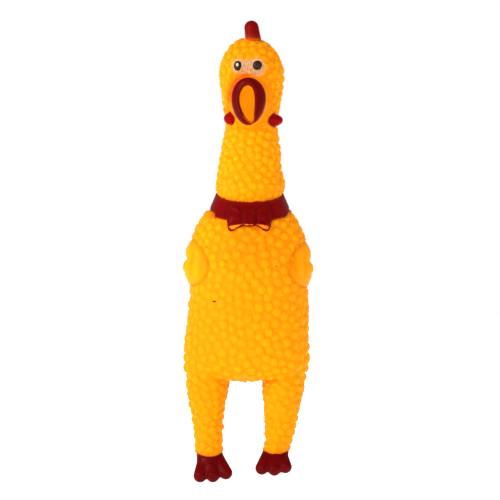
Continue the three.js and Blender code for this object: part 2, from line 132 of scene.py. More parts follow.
# In the face's own frame: across, height, half width and half height of each pupil.
EYES = {"right": (-7.8, 156.3, 2.7, 3.3), "left": (5.3, 156.6, 3.2, 3.2)}

PAD_Z, PAD_HALF, PAD_REACH = 18.0, (14.0, 9.0), 27.8  # a plain oval on the back

COLLAR_X, COLLAR_Z, COLLAR_SLOPE, COLLAR_HALF_HEIGHT = 0.8, 65.8, 0.27, 5.2
COLLAR_TOP = {"half": 22.5, "front": 22.6, "back": 22.6}
COLLAR_WIDER_BELOW = {"half": 4.4, "front": 5.8, "back": 1.2}
SQUARISH = 2.5  # power of the collar's and the wings' outlines; 2 is an ellipse
BOW_X, BOW_Z = 0.5, 56.0

WING_MIDDLE = (-1.0, 25.8)  # y, z
WING_HALF = (22.6, 15.6)
WING_SLANT = 0.30
WING_OUT = {"right": 1.0, "left": 0.86}
WING_DROP = {"right": 0.0, "left": 1.2}

# Place along Y, height of the top and radius of each point of the comb.
COMB_LOBES = ((-4.0, 187.3, 4.8), (3.0, 185.0, 4.6), (10.0, 185.6, 4.5), (16.0, 180.0, 4.3))
WATTLES = {"right": ((-12.6, -11.6, 121.4), (3.9, 4.6, 3.9)), "left": ((17.3, -9.6, 120.4), (5.7, 4.8, 3.9))}

BUMP_PITCH = {"torso": 6.9, "small": 5.7}
BUMP_RADIUS = {"torso": 0.46, "small": 0.48}  # share of the pitch
BUMP_HEIGHT = 1.3
SMALL_BUMPS = (-57.0, 66.0)  # the bumps are smaller below and above these heights

# Each spot of paint: middle across, height, half width and half height.
PATCH_LOBES = ((-7.3, 156.5, 4.4, 4.8), (4.9, 155.3, 5.2, 6.0))
PATCH_BRIDGE = {"middle": -1.5, "half": 6.0, "low": 151.6, "high": 160.2}
SPECKS = ((-22.6, -0.2, 1.35, 0.5), (18.3, 23.0, 0.55, 0.5))
UNPAINTED = -50.0  # a distance far outside any paint

# Where the skin is cut into pieces.
HEAD_CUT, NECK_CUT, HIP_CUT, LEG_CUT = 101.5, 71.0, -47.0, -80.0
LEG_SPLIT_X = -2.2
HIP_HALF = 17.5
BELLY_MID, BELLY_DEPTH, BELLY_START = -2.0, 0.0385, -0.385
BELLY_RISE = {"upper": 0.0132, "lower": 0.0112}
BELLY_SPAN = (-47, 55)


# ------------------------------------------------------------------ shape: fields
def table(rows, column, z):
    """Smooth cubic interpolation of a column of rows at heights z, held constant past the ends."""
    rows = rows[np.argsort(rows[:, 0])]
    h, v = rows[:, 0], rows[:, column]
    slope = np.gradient(v, h)
    fine = np.linspace(h[0], h[-1], 1200)
    i = np.clip(np.searchsorted(h, fine, side="right") - 1, 0, len(h) - 2)
    d = h[i + 1] - h[i]
    t = (fine - h[i]) / d
    smooth = (
        (2 * t**3 - 3 * t**2 + 1) * v[i] + (t**3 - 2 * t**2 + t) * slope[i] * d
        + (3 * t**2 - 2 * t**3) * v[i + 1] + (t**3 - t**2) * slope[i + 1] * d
    )
    return np.interp(z, fine, smooth)


def join(a, b, k):
    """Smooth union of two distances with a fillet of about k."""
    h = np.clip(0.5 + 0.5 * (b - a) / k, 0, 1)
    return b + (a - b) * h - k * h * (1 - h)


def cut(a, b, k):
    """Smooth intersection."""
    return -join(-a, -b, k)


def smoothstep(low, high, v):
    t = np.clip((v - low) / (high - low), 0, 1)
    return t * t * (3 - 2 * t)


def ellipsoid(x, y, z, centre, radii):
    px, py, pz = (x - centre[0]) / radii[0], (y - centre[1]) / radii[1], (z - centre[2]) / radii[2]
    r = np.sqrt(px**2 + py**2 + pz**2)
    g = np.sqrt((px / radii[0])**2 + (py / radii[1])**2 + (pz / radii[2])**2)
    return r * (r - 1) / np.maximum(g, 1e-6)


def capsule(x, y, z, a, b, ra, rb):
    a, b = np.array(a, float), np.array(b, float)
    d = b - a
    px, py, pz = x - a[0], y - a[1], z - a[2]
    t = np.clip((px * d[0] + py * d[1] + pz * d[2]) / (d @ d), 0, 1)
    return np.sqrt((px - t * d[0])**2 + (py - t * d[1])**2 + (pz - t * d[2])**2) - (ra + (rb - ra) * t)


def column(x, y, z):
    zc = np.clip(z, BODY[0, 0], BODY[-1, 0])
    u = x - table(BODY, 1, zc)
    half = table(BODY, 2, zc)
    reach = np.where(y < 0, table(BODY, 3, zc), table(BODY, 4, zc))
    r = (np.abs(u / half)**SECTION_POWER + np.abs(y / reach)**SECTION_POWER)**(1 / SECTION_POWER)
    rho = np.sqrt(u**2 + y**2)
    inside = -np.minimum(half, reach)
    flat = np.where(r > 1e-6, rho * (1 - 1 / np.maximum(r, 1e-6)), inside)
    return np.maximum(flat, inside) + np.abs(z - zc)


def leg(x, y, z, side):
    rows = LEG[side]
    along = np.clip(z, rows[-1, 0], rows[0, 0])
    radial = np.sqrt((x - table(rows, 1, along))**2 + y**2) - table(rows, 2, along)
    return np.maximum(radial, np.abs(z - along) - 1.0)


def foot(x, y, z, side):
    f = FOOT[side]
    heel = (f["ankle"][0], -3.0, f["ankle"][2] - 5.0)
    made = capsule(x, y, z, f["ankle"], heel, f["radius"], 6.4)
    for tip in f["toes"]:
        start = (0.45 * tip[0] + 0.55 * f["ankle"][0], -1.5, f["ankle"][2] - 2.0)
        made = join(made, capsule(x, y, z, start, tip, 5.0, f["toe"]), 2.2)
    return made


def face_frame(x, y):
    """Across and forward coordinates in the turned face's frame."""
    c, s = math.cos(HEAD_TURN), math.sin(HEAD_TURN)
    dx = x - HEAD_AXIS_X
    return dx * c - y * s, -(dx * s + y * c)


def lip_front(u):
    """How far forward the lip reaches: the mouth's corners are set back."""
    return BEAK_REACH - 5.5 * np.minimum(np.abs(u) / BEAK_HALF[0], 1.2)**2


def ellipse(u, w, a, b):
    r = np.sqrt((u / a)**2 + (w / b)**2)
    return np.sqrt(u**2 + w**2) * (1 - 1 / np.maximum(r, 1e-6)) - np.where(r < 1e-5, np.minimum(a, b), 0)


def beak(x, y, z):
    u, forward = face_frame(x, y)
    w = z - BEAK_Z
    widen = np.clip((lip_front(u) - forward) / 18, 0, 1)
    narrow = 1 + 0.007 * w
    across = ellipse(u, w, (BEAK_HALF[0] - 1.6 * widen) * narrow, BEAK_HALF[1] - 1.0 * widen)
    made = cut(across, forward - lip_front(u), 5.0)
    return cut(made, 6 - forward, 1.0)


def mouth(x, y, z):
    """The opening: an egg, a little narrower and swung over at its lower end."""
    u, forward = face_frame(x, y)
    w = z - BEAK_Z + MOUTH_DROP
    lean = 0.08 * w + 0.6 - 1.4 * (w / MOUTH_HALF[1])**2
    narrow = 1 + 0.020 * w
    grow = 1 + 0.10 * np.clip((lip_front(u) - forward) / MOUTH_DEPTH, 0, 1)
    across = ellipse(u + lean, w, MOUTH_HALF[0] * narrow * grow, MOUTH_HALF[1] * grow)
    return cut(across, (BEAK_REACH - MOUTH_DEPTH) - forward, 4.0)


def comb(x, y, z):
    made = None
    for at_y, top, radius in COMB_LOBES:
        tip = top - radius
        lobe = capsule(x, y, z, (3.6, at_y * 0.9, tip - 11.5), (2.0, at_y, tip), radius + 0.8, radius)
        made = lobe if made is None else join(made, lobe, 2.0)
    return made


def wattle(x, y, z, side):
    centre, radii = WATTLES[side]
    return ellipsoid(x, y, z, centre, radii)


def collar(x, y, z):
    s = (z - COLLAR_Z - COLLAR_SLOPE * y) / COLLAR_HALF_HEIGHT
    lower = np.clip((1 - s) / 2, -0.2, 1.2)
    half, front, back = (COLLAR_TOP[k] + COLLAR_WIDER_BELOW[k] * lower for k in ("half", "front", "back"))
    reach = np.where(y < 0, front, back)
    u = x - COLLAR_X
    r = (np.abs(u / half)**SQUARISH + np.abs(y / reach)**SQUARISH)**(1 / SQUARISH)
    across = np.sqrt(u**2 + y**2) * (1 - 1 / np.maximum(r, 0.05))
    return cut(across, (np.abs(s) - 1) * COLLAR_HALF_HEIGHT, 1.2)


def bow_outline(x, z):
    """Distance in the bow's own plane: two flared lobes and a knot. Negative is inside."""
    u, w = np.abs(x - BOW_X), z - BOW_Z
    spread = smoothstep(3.5, 12.5, u)
    tall = np.where(w > 0, w - (4.0 + 3.6 * spread), -w - (6.0 + 3.6 * spread - 0.9 * smoothstep(12, 15, u)))
    lobes = cut(tall, u - (14.8 - 0.018 * (w + 1)**2), 2.4)
    knot = cut(u - 4.2, np.abs(w + 0.8) - 5.6, 2.0)
    return join(lobes, knot, 0.8)


def bow_relief(x, z):
    """How far the bow stands off the skin: full lobes, a crease, a fuller knot and small pleats."""
    u, w = np.abs(x - BOW_X), z - BOW_Z
    crease = 1.0 * np.exp(-((u - 5.0) / 1.3)**2)
    angle = w / np.maximum(u - 2.0, 2.0)
    pleats = 0.35 * np.cos(angle * 7.0) * smoothstep(5.5, 8.0, u) * smoothstep(15.0, 12.0, u)
    return 2.9 - crease + pleats + 0.5 * smoothstep(4.5, 3.0, u) - 0.9 * smoothstep(10.5, 15.5, u)


def bow(x, y, z, skin):
    made = cut(bow_outline(x, z), skin - bow_relief(x, z), 1.8)
    return cut(made, y + 8, 1.0)


def hump(v, middle, width):
    return np.exp(-((v - middle) / width)**2)


def wing_ridges(y, z):
    return (0.9 * hump(y, -19.0, 1.5) + 0.8 * hump(y, -10.0, 2.2) - 1.0 * hump(y, -22.2, 1.2)
            - 0.8 * hump(y, -14.6, 1.4)) * hump(z, 27, 8)


def wing_relief(y, z, out):
    """How far a wing stands off the skin: thin at its front edge, full at the side, notched into feathers."""
    side = smoothstep(-24, -3, y)
    notches = 1.5 * hump(z, 27.6, 1.8) + 0.9 * hump(z, 18.6, 1.2)
    feathers = 2.4 + 1.7 * hump(z, 22, 5.5) - side * notches
    taper = np.clip((z - 7.5) / 10.0, 0.0, 1.0) * smoothstep(43, 33.5, z)
    return 0.3 + (1.2 + feathers * side) * out * taper + wing_ridges(y, z)


def wing(x, y, z, side, off):
    """A relief that follows the skin; off is the distance off the bare skin."""
    sign = 1 if side == "left" else -1
    z = z + WING_DROP[side]
    w = z - WING_MIDDLE[1]
    u = y - WING_MIDDLE[0] - WING_SLANT * w
    r = (np.abs(u / WING_HALF[0])**SQUARISH + np.abs(w / WING_HALF[1])**SQUARISH)**(1 / SQUARISH)
    outline = np.sqrt(u**2 + w**2) * (1 - 1 / np.maximum(r, 0.05))
    made = cut(outline, off - wing_relief(y, z, WING_OUT[side]), 1.8)
    return cut(made, 18 - sign * x, 1.0)


def tail(x, y, z):
    return ellipsoid(x, y, z, (-0.5, 24.0, -36.0), (8.0, 9.6, 9.0))


def pad(x, y, z):
    return cut(cut(ellipse(x, z - PAD_Z, *PAD_HALF), y - PAD_REACH, 0.8), 20 - y, 1.0)


def bare(x, y, z):
    """The skin without what is moulded onto it."""
    made = column(x, y, z)
    u, forward = face_frame(x, y)
    for at, height, wide, tall in EYES.values():
        bulge = ellipsoid(u, forward, z, (at + 1.0, 13.0, height - 0.5), (wide + 3.4, 6.8, tall + 3.6))
        made = join(made, bulge, 2.0)
    root = ellipsoid(u, forward, z, (0, 12.0, BEAK_Z + 0.5), (12.6, 13.5, 17.4))
    made = join(made, root, 4.0)
    made = join(made, leg(x, y, z, "right"), 4.0)
    return join(made, leg(x, y, z, "left"), 4.0)


def skin(x, y, z):
    base = bare(x, y, z)
    made = join(base, collar(x, y, z), 0.8)
    made = join(made, bow(x, y, z, made), 0.6)
    made = join(made, comb(x, y, z), 0.9)
    made = join(made, beak(x, y, z), 1.6)
    made = join(made, tail(x, y, z), 3.0)
    made = join(made, pad(x, y, z), 0.6)
    for side in ("left", "right"):
        made = join(made, wing(x, y, z, side, base), 0.8)
        made = join(made, wattle(x, y, z, side), 1.4)
        made = join(made, foot(x, y, z, side), 1.8)
    return cut(made, -mouth(x, y, z), 2.2)


# ------------------------------------------------------------------ meshing
def surface_net(field, low, high, cell):
    """Vertices and quads of the field's zero surface, one vertex in each grid cell it crosses."""
    axes = [np.arange(low[i], high[i] + cell, cell) for i in range(3)]
    f = np.empty([len(a) for a in axes], np.float32)
    step = 24
    for k in range(0, len(axes[2]), step):
        x, y, z = np.meshgrid(axes[0], axes[1], axes[2][k:k + step], indexing="ij")
        f[:, :, k:k + step] = field(x, y, z)
    neg = f < 0
    n = [s - 1 for s in f.shape]
    corners = [(i, j, k) for i in (0, 1) for j in (0, 1) for k in (0, 1)]
    count = sum(neg[i:i + n[0], j:j + n[1], k:k + n[2]].astype(np.int8) for i, j, k in corners)
    cells = np.argwhere((count > 0) & (count < 8))
    index = np.full(n, -1, np.int64)
    index[tuple(cells.T)] = np.arange(len(cells))
    total, hits = np.zeros((len(cells), 3)), np.zeros(len(cells))
    for a in corners:
        for axis in range(3):
            if a[axis]:
                continue
            b = list(a)
            b[axis] = 1
            fa, fb = f[tuple((cells + a).T)], f[tuple((cells + b).T)]
            crossing = (fa < 0) != (fb < 0)
            t = np.where(crossing, fa / np.where(crossing, fa - fb, 1), 0)
            p = np.array(a, float) + np.zeros((len(cells), 3))
            p[:, axis] = t
            total += p * crossing[:, None]
            hits += crossing
    verts = np.array(low) + (cells + total / hits[:, None]) * cell
    quads = []
    for axis in range(3):
        u, v = (axis + 1) % 3, (axis + 2) % 3
        first = [slice(1, s - 1) for s in f.shape]
        first[axis] = slice(0, f.shape[axis] - 1)
        second = list(first)
        second[axis] = slice(1, f.shape[axis])
        a, b = neg[tuple(first)], neg[tuple(second)]
        at = np.argwhere(a != b)
        at[:, u] += 1
        at[:, v] += 1
        step_u, step_v = np.eye(3, dtype=int)[u], np.eye(3, dtype=int)[v]
        ring = [index[tuple((at - o).T)] for o in (0 * step_u, step_u, step_u + step_v, step_v)]
        quad = np.stack(ring, 1)
        outward = neg[tuple(at.T)]
        quads.append(np.where(outward[:, None], quad, quad[:, ::-1]))
    return verts, np.concatenate(quads)


def vertex_normals(verts, quads):
    d1, d2 = verts[quads[:, 2]] - verts[quads[:, 0]], verts[quads[:, 3]] - verts[quads[:, 1]]
    face = np.cross(d1, d2)
    total = np.zeros_like(verts)
    for k in range(4):
        np.add.at(total, quads[:, k], face)
    return total / np.maximum(np.linalg.norm(total, axis=1, keepdims=True), 1e-12)


def relax(verts, quads, rounds):
    """Evens out the quads by moving each vertex towards its neighbours, then back onto the surface."""
    for _ in range(rounds):
        total, hits = np.zeros_like(verts), np.zeros(len(verts))
        for k in range(4):
            np.add.at(total, quads[:, k], verts[quads[:, (k + 1) % 4]])
            np.add.at(hits, quads[:, k], 1)
        middle = total / hits[:, None]
        verts = verts + 0.6 * (middle - verts)
        outward = vertex_normals(verts, quads)
        here = skin(*verts.T)
        slope = (skin(*(verts + 0.1 * outward).T) - here) / 0.1
        verts = verts - outward * np.clip(here / np.maximum(slope, 0.5), -0.3, 0.3)[:, None]
    return verts


# ------------------------------------------------------------------ the bumps
def bump_seeds(verts, pitch, seed, rounds=7):
    """Evenly spread, irregular points on the surface: thrown at random, then pushed apart."""
    rng = np.random.default_rng(seed)
    order = rng.permutation(len(verts))
    taken = {}
    size = 0.78 * pitch
    picked = []
    for i in order:
        p = verts[i]
        key = tuple((p // size).astype(int))
        near = [q for dx in (-1, 0, 1) for dy in (-1, 0, 1) for dz in (-1, 0, 1)
                for q in taken.get((key[0] + dx, key[1] + dy, key[2] + dz), ())]
        if all((p[0] - q[0])**2 + (p[1] - q[1])**2 + (p[2] - q[2])**2 > size * size for q in near):
            taken.setdefault(key, []).append(p)
            picked.append(p)
    seeds = np.array(picked)
    ground = kdtree.KDTree(len(verts))
    for i, p in enumerate(verts):
        ground.insert(p, i)
    ground.balance()
    for _ in range(rounds):
        tree = kdtree.KDTree(len(seeds))
        for i, p in enumerate(seeds):
            tree.insert(p, i)
        tree.balance()
        moved = seeds.copy()
        for i, p in enumerate(seeds):
            for q, _, d in tree.find_n(p, 7)[1:]:
                if 1e-6 < d < 1.15 * pitch:
                    moved[i] += (p - np.array(q)) / d * (1.15 * pitch - d) * 0.22
        seeds = np.array([ground.find(p)[0] for p in moved])
    return seeds


def bump_field(verts, seeds, radius, seed):
    """0 between bumps to about 1 on their tops."""
    rng = np.random.default_rng(seed)
    strength = 1 + 0.16 * rng.standard_normal(len(seeds)).clip(-1.6, 1.6)
    radius = radius * (1 + 0.08 * rng.standard_normal(len(seeds)).clip(-1.5, 1.5))
    tree = kdtree.KDTree(len(seeds))
    for i, p in enumerate(seeds):
        tree.insert(p, i)
    tree.balance()
    found = [tree.find(p) for p in verts]
    which = np.array([i for _, i, _ in found])
    d = np.array([d for _, _, d in found])
    t = np.clip(1 - (d / radius[which])**2, 0, 1)
    return strength[which] * t * (1.45 - 0.45 * t) * smoothstep(0, 0.22, t)


# ------------------------------------------------------------------ build the skin
verts, quads = surface_net(skin, LOW, HIGH, CELL)
verts = relax(verts, quads, 3)
rest_verts = verts.copy()
normals = vertex_normals(verts, quads)
X, Y, Z = rest_verts.T
base = bare(X, Y, Z)

U, FORWARD = face_frame(X, Y)
in_mouth = mouth(X, Y, Z)


def region(distance, off):
    """How far inside a painted, moulded part a point is: on it, and off the bare skin."""
    return np.minimum(-distance + 0.9, off)


red_comb = region(comb(X, Y, Z) + 0.4, base - 0.7)
red_collar = region(collar(X, Y, Z), base - 0.15)
bow_edge = bow_outline(X, Z)
dressed = join(base, collar(X, Y, Z), 0.8)
on_bow = np.minimum(region(bow(X, Y, Z, dressed), dressed - 0.4), -Y - 10)
red_bow = np.minimum(on_bow, Z - (BOW_Z - 5.0 - 0.008 * (X - BOW_X)**2))
lip_line = np.minimum(on_bow, bow_edge + 0.9)
red_bow = np.maximum(red_bow, np.minimum(lip_line, (BOW_Z - 5) - Z))
speck = UNPAINTED * (Y > 0) - np.min([ellipse(X - x, Z - z, a, b) for x, z, a, b in SPECKS], axis=0)
ring = ellipse(U, Z - BEAK_Z, *BEAK_HALF)
red_beak = np.minimum(FORWARD - 24.5, np.minimum(2.5 - ring, in_mouth + 0.9))
red_wattle = np.maximum(*[region(wattle(X, Y, Z, s), base - 0.1) for s in ("left", "right")])
red_feet = np.full(len(X), UNPAINTED)
for side, spec in FOOT.items():
    near = np.abs(X - spec["ankle"][0]) < 20
    line = spec["paint"] - 2.6 * (1 - ((X - spec["ankle"][0]) / 9)**2).clip(-1, 1)
    red_feet = np.where(near & (Z < LEG_CUT), line - Z, red_feet)
red = np.max([red_comb, red_collar, red_bow, red_beak, red_wattle, red_feet], axis=0)

lobes = -np.min([ellipse(U - u, Z - z, a, b) for u, z, a, b in PATCH_LOBES], axis=0)
bridge = np.min([PATCH_BRIDGE["half"] - np.abs(U - PATCH_BRIDGE["middle"]), Z - PATCH_BRIDGE["low"],
                 PATCH_BRIDGE["high"] - Z], axis=0)
pale = np.where(FORWARD > 8, np.maximum(lobes, bridge), UNPAINTED)

# cavity marks the inside of the mouth; the material paints it a brighter orange and makes it glow, which is
# painted light.
cavity = smoothstep(1.4, 0.4, in_mouth) * smoothstep(26.0, 22.0, FORWARD) * (FORWARD > 12)
drift = 0.22 + 0.78 * smoothstep(7, -5, U) * smoothstep(-6, 5, Z - BEAK_Z)
orange = np.exp(-(np.maximum(ring - 1.6, 0) / 2.8)**2) * smoothstep(8, 13, FORWARD) * drift
comb_base = 0.88 * np.exp(-(np.maximum(base - 3.6, 0) / 3.8)**2) * (Z > 165) * smoothstep(6, -8, Y)
# The lower inner lip fades from red to orange: partly thinner paint, partly painted light shining through the
# thin lip.
low_lip = smoothstep(-8.5, -12.0, Z - BEAK_Z) * smoothstep(2.2, 0.8, in_mouth) * (FORWARD > 20)
thin_red_and_lip_light = np.maximum(comb_base, 0.85 * low_lip)
orange = (
    orange * (in_mouth > 1)
    + (Y < 0) * 0.6 * hump(X, -14.4, 1.7) * hump(Z, 127.4, 2.0)
    + (Y < 0) * 0.3 * hump(X, 2, 20) * hump(Z, 40, 15)
    + 0.6 * hump(red_feet, 0, 1.6)
)

smooth_parts = np.max([
    smoothstep(-0.8, 0.6, red), smoothstep(-1.0, 0.2, pale), smoothstep(1.5, 0.0, in_mouth) * (FORWARD > 10),
    smoothstep(3.5, 1.5, ring) * smoothstep(14, 18, FORWARD),
    smoothstep(-0.2, 0.4, on_bow), smoothstep(1.6, 0.4, collar(X, Y, Z)),
    smoothstep(1.0, 0.2, ellipse(X, Z - PAD_Z, *PAD_HALF)) * (Y > 20),
], axis=0)

on_small = (Z > SMALL_BUMPS[1]) | (Z < SMALL_BUMPS[0])
# This array is painted light and shade: the material colours the tops of the bumps lighter and the gaps
# between them darker; lift below is the relief itself.
painted_bump_shading = np.zeros(len(X))
lift = np.zeros(len(X))
for name, chosen, seed in (("torso", ~on_small, 3), ("small", on_small, 8)):
    at = np.flatnonzero(chosen)
    seeds = bump_seeds(rest_verts[at], BUMP_PITCH[name], seed)
    value = bump_field(rest_verts[at], seeds, BUMP_PITCH[name] * BUMP_RADIUS[name], seed + 1)
    painted_bump_shading[at] = value
    lift[at] = value * BUMP_HEIGHT
painted_bump_shading *= 1 - 0.45 * smoothstep(-50, -62, Z)
painted_bump_shading *= 1 - smooth_parts
lift *= 1 - smooth_parts
wings = np.minimum(*[wing(X, Y, Z, side, base) for side in ("left", "right")])
on_wings = smoothstep(0.9, 0.2, wings) * (base > 0.25)
lift *= 1 - 0.96 * on_wings
# On the wings the painted shading follows the moulded ridges: raised ridges are coloured lighter, grooves
# darker.
painted_bump_shading = painted_bump_shading * (1 - on_wings) + on_wings * (0.55 + 1.3 * wing_ridges(Y, Z + 1))
# Painted shade: the skin is coloured a darker orange in the crease along each wing's outline.
crease = hump(wings, 0.5, 0.9) * hump(base, 0.0, 0.8) * (np.abs(X) > 18)
tone = np.full(len(X), 0.17)
for part, level in ((red_wattle, 0.85), (red_comb, 0.5), (red_collar, 0.45), (red_bow, 0.3), (red_feet, 0.1)):
    tone = np.where(part > -1.5, level, tone)
verts = rest_verts + normals * lift[:, None]
normals = vertex_normals(verts, quads)

# ------------------------------------------------------------------ cut into pieces
face_middle = rest_verts[quads].mean(axis=1)
FX, FY, FZ = face_middle.T


def face_value(values):
    return values[quads].mean(axis=1)


rise = np.where(FZ >= BELLY_MID, BELLY_RISE["upper"], BELLY_RISE["lower"])
belly_t = BELLY_DEPTH * -FY - rise * np.abs(FZ - BELLY_MID) + BELLY_START
label = np.full(len(quads), "torso_skin", object)
label[(belly_t > -0.03) & (FZ > BELLY_SPAN[0]) & (FZ < BELLY_SPAN[1])] = "belly"
label[(label == "belly") & (FZ >= BELLY_MID)] = "belly_upper"
label[label == "belly"] = "belly_lower"
label[FZ > NECK_CUT] = "neck_skin"
label[FZ > HEAD_CUT] = "head_skin"
for side in ("left", "right"):
    here = (FX > LEG_SPLIT_X) if side == "left" else (FX <= LEG_SPLIT_X)
    centre = LEG[side][1, 1]
    inner = np.abs(FX - centre) < HIP_HALF
    label[here & inner & (FZ < HIP_CUT)] = "hip_" + side
    label[here & (FZ < LEG_CUT)] = "leg_%s_skin" % side
    label[here & (FZ < LEG_CUT) & (face_value(red_feet) > 0)] = "foot_" + side
    sign = 1 if side == "left" else -1
    on_wing = face_value(wing(X, Y, Z, side, base)) < 0.35
    label[(label == "torso_skin") & on_wing & (sign * FX > 18) & (face_value(base) > 0.3)] = "wing_" + side
    label[(face_value(wattle(X, Y, Z, side)) < 0.6) & (face_value(red_wattle) > 0) & here] = "wattle_" + side
label[(face_value(red_collar) > 0) & (FZ < 80)] = "collar_band"
label[face_value(on_bow) > 0] = "bow_tie"
label[(face_value(red_comb) > 0) & (FZ > 160)] = "comb"
label[(face_value(red_beak) > 0)] = "beak"
label[(face_value(cavity) > 0.5) & (label == "head_skin")] = "mouth_lining"
label[(face_value(tail(X, Y, Z)) < 0.5) & (face_value(base) > 0.6) & (FY > 20)] = "tail"

ATTRIBUTES = {"painted_bump_shading": painted_bump_shading, "red": red, "pale": pale, "cavity": cavity, "orange": orange,
              "thin_red_and_lip_light": thin_red_and_lip_light, "crease": crease, "tone": tone, "speck": speck}


def piece(name, faces, material):
    used, inverse = np.unique(quads[faces], return_inverse=True)
    mesh = bpy.data.meshes.new(name)
    mesh.from_pydata((verts[used] * MM).tolist(), [], inverse.reshape(-1, 4).tolist())
    for key, values in ATTRIBUTES.items():
        mesh.attributes.new(key, "FLOAT", "POINT").data.foreach_set("value", values[used].astype(np.float32))
    mesh.polygons.foreach_set("use_smooth", np.ones(len(mesh.polygons), bool))
    mesh.update()
    mesh.normals_split_custom_set_from_vertices(normals[used].tolist())
    obj = bpy.data.objects.new(name, mesh)
    bpy.context.scene.collection.objects.link(obj)
    mesh.materials.append(material)
    return obj


# ------------------------------------------------------------------ materials
def new_material(name):
    material = bpy.data.materials.new(name)
    material.use_nodes = True
    tree = material.node_tree
    return material, tree, tree.nodes["Principled BSDF"]


def node(tree, kind, **values):
    made = tree.nodes.new(kind)
    for key, value in values.items():
        setattr(made, key, value)
    return made


def ramp(tree, source, stops):
    made = node(tree, "ShaderNodeValToRGB")
    while len(made.color_ramp.elements) < len(stops):
        made.color_ramp.elements.new(0.5)
    for element, (place, colour) in zip(made.color_ramp.elements, stops):
        element.position = place
        element.color = (*colour, 1)
    tree.links.new(source, made.inputs["Fac"])
    return made.outputs["Color"]


def mix(tree, factor, a, b):
    made = node(tree, "ShaderNodeMix", data_type="RGBA")
    for socket, value in ((0, factor), (6, a), (7, b)):
        if hasattr(value, "is_output"):
            tree.links.new(value, made.inputs[socket])
        elif socket == 0:
            made.inputs[socket].default_value = value
        else:
            made.inputs[socket].default_value = (*value, 1)
    return made.outputs[2]


def attribute(tree, name):
    return node(tree, "ShaderNodeAttribute", attribute_name=name).outputs["Fac"]


def maths(tree, operation, a, b=0.0, clamp=False):
    made = node(tree, "ShaderNodeMath", operation=operation, use_clamp=clamp)
    for i, value in enumerate((a, b)):
        if hasattr(value, "is_output"):
            tree.links.new(value, made.inputs[i])
        else:
            made.inputs[i].default_value = value
    return made.outputs[0]


def noise(tree, scale, detail=3.0):
    position = node(tree, "ShaderNodeTexCoord").outputs["Object"]
    made = node(tree, "ShaderNodeTexNoise")
    made.inputs["Scale"].default_value = scale
    made.inputs["Detail"].default_value = detail
    made.inputs["Roughness"].default_value = 0.55
    tree.links.new(position, made.inputs["Vector"])
    return made.outputs["Fac"]


def edge(tree, distance, softness, wobble_scale, wobble):
    """0 to 1 across a paint edge: distance in mm, positive inside, moved by a little noise."""
    moved = maths(tree, "ADD", distance, maths(
        tree, "MULTIPLY", maths(tree, "SUBTRACT", noise(tree, wobble_scale), 0.5), wobble))
    return maths(tree, "ADD", maths(tree, "DIVIDE", moved, softness), 0.5, clamp=True)


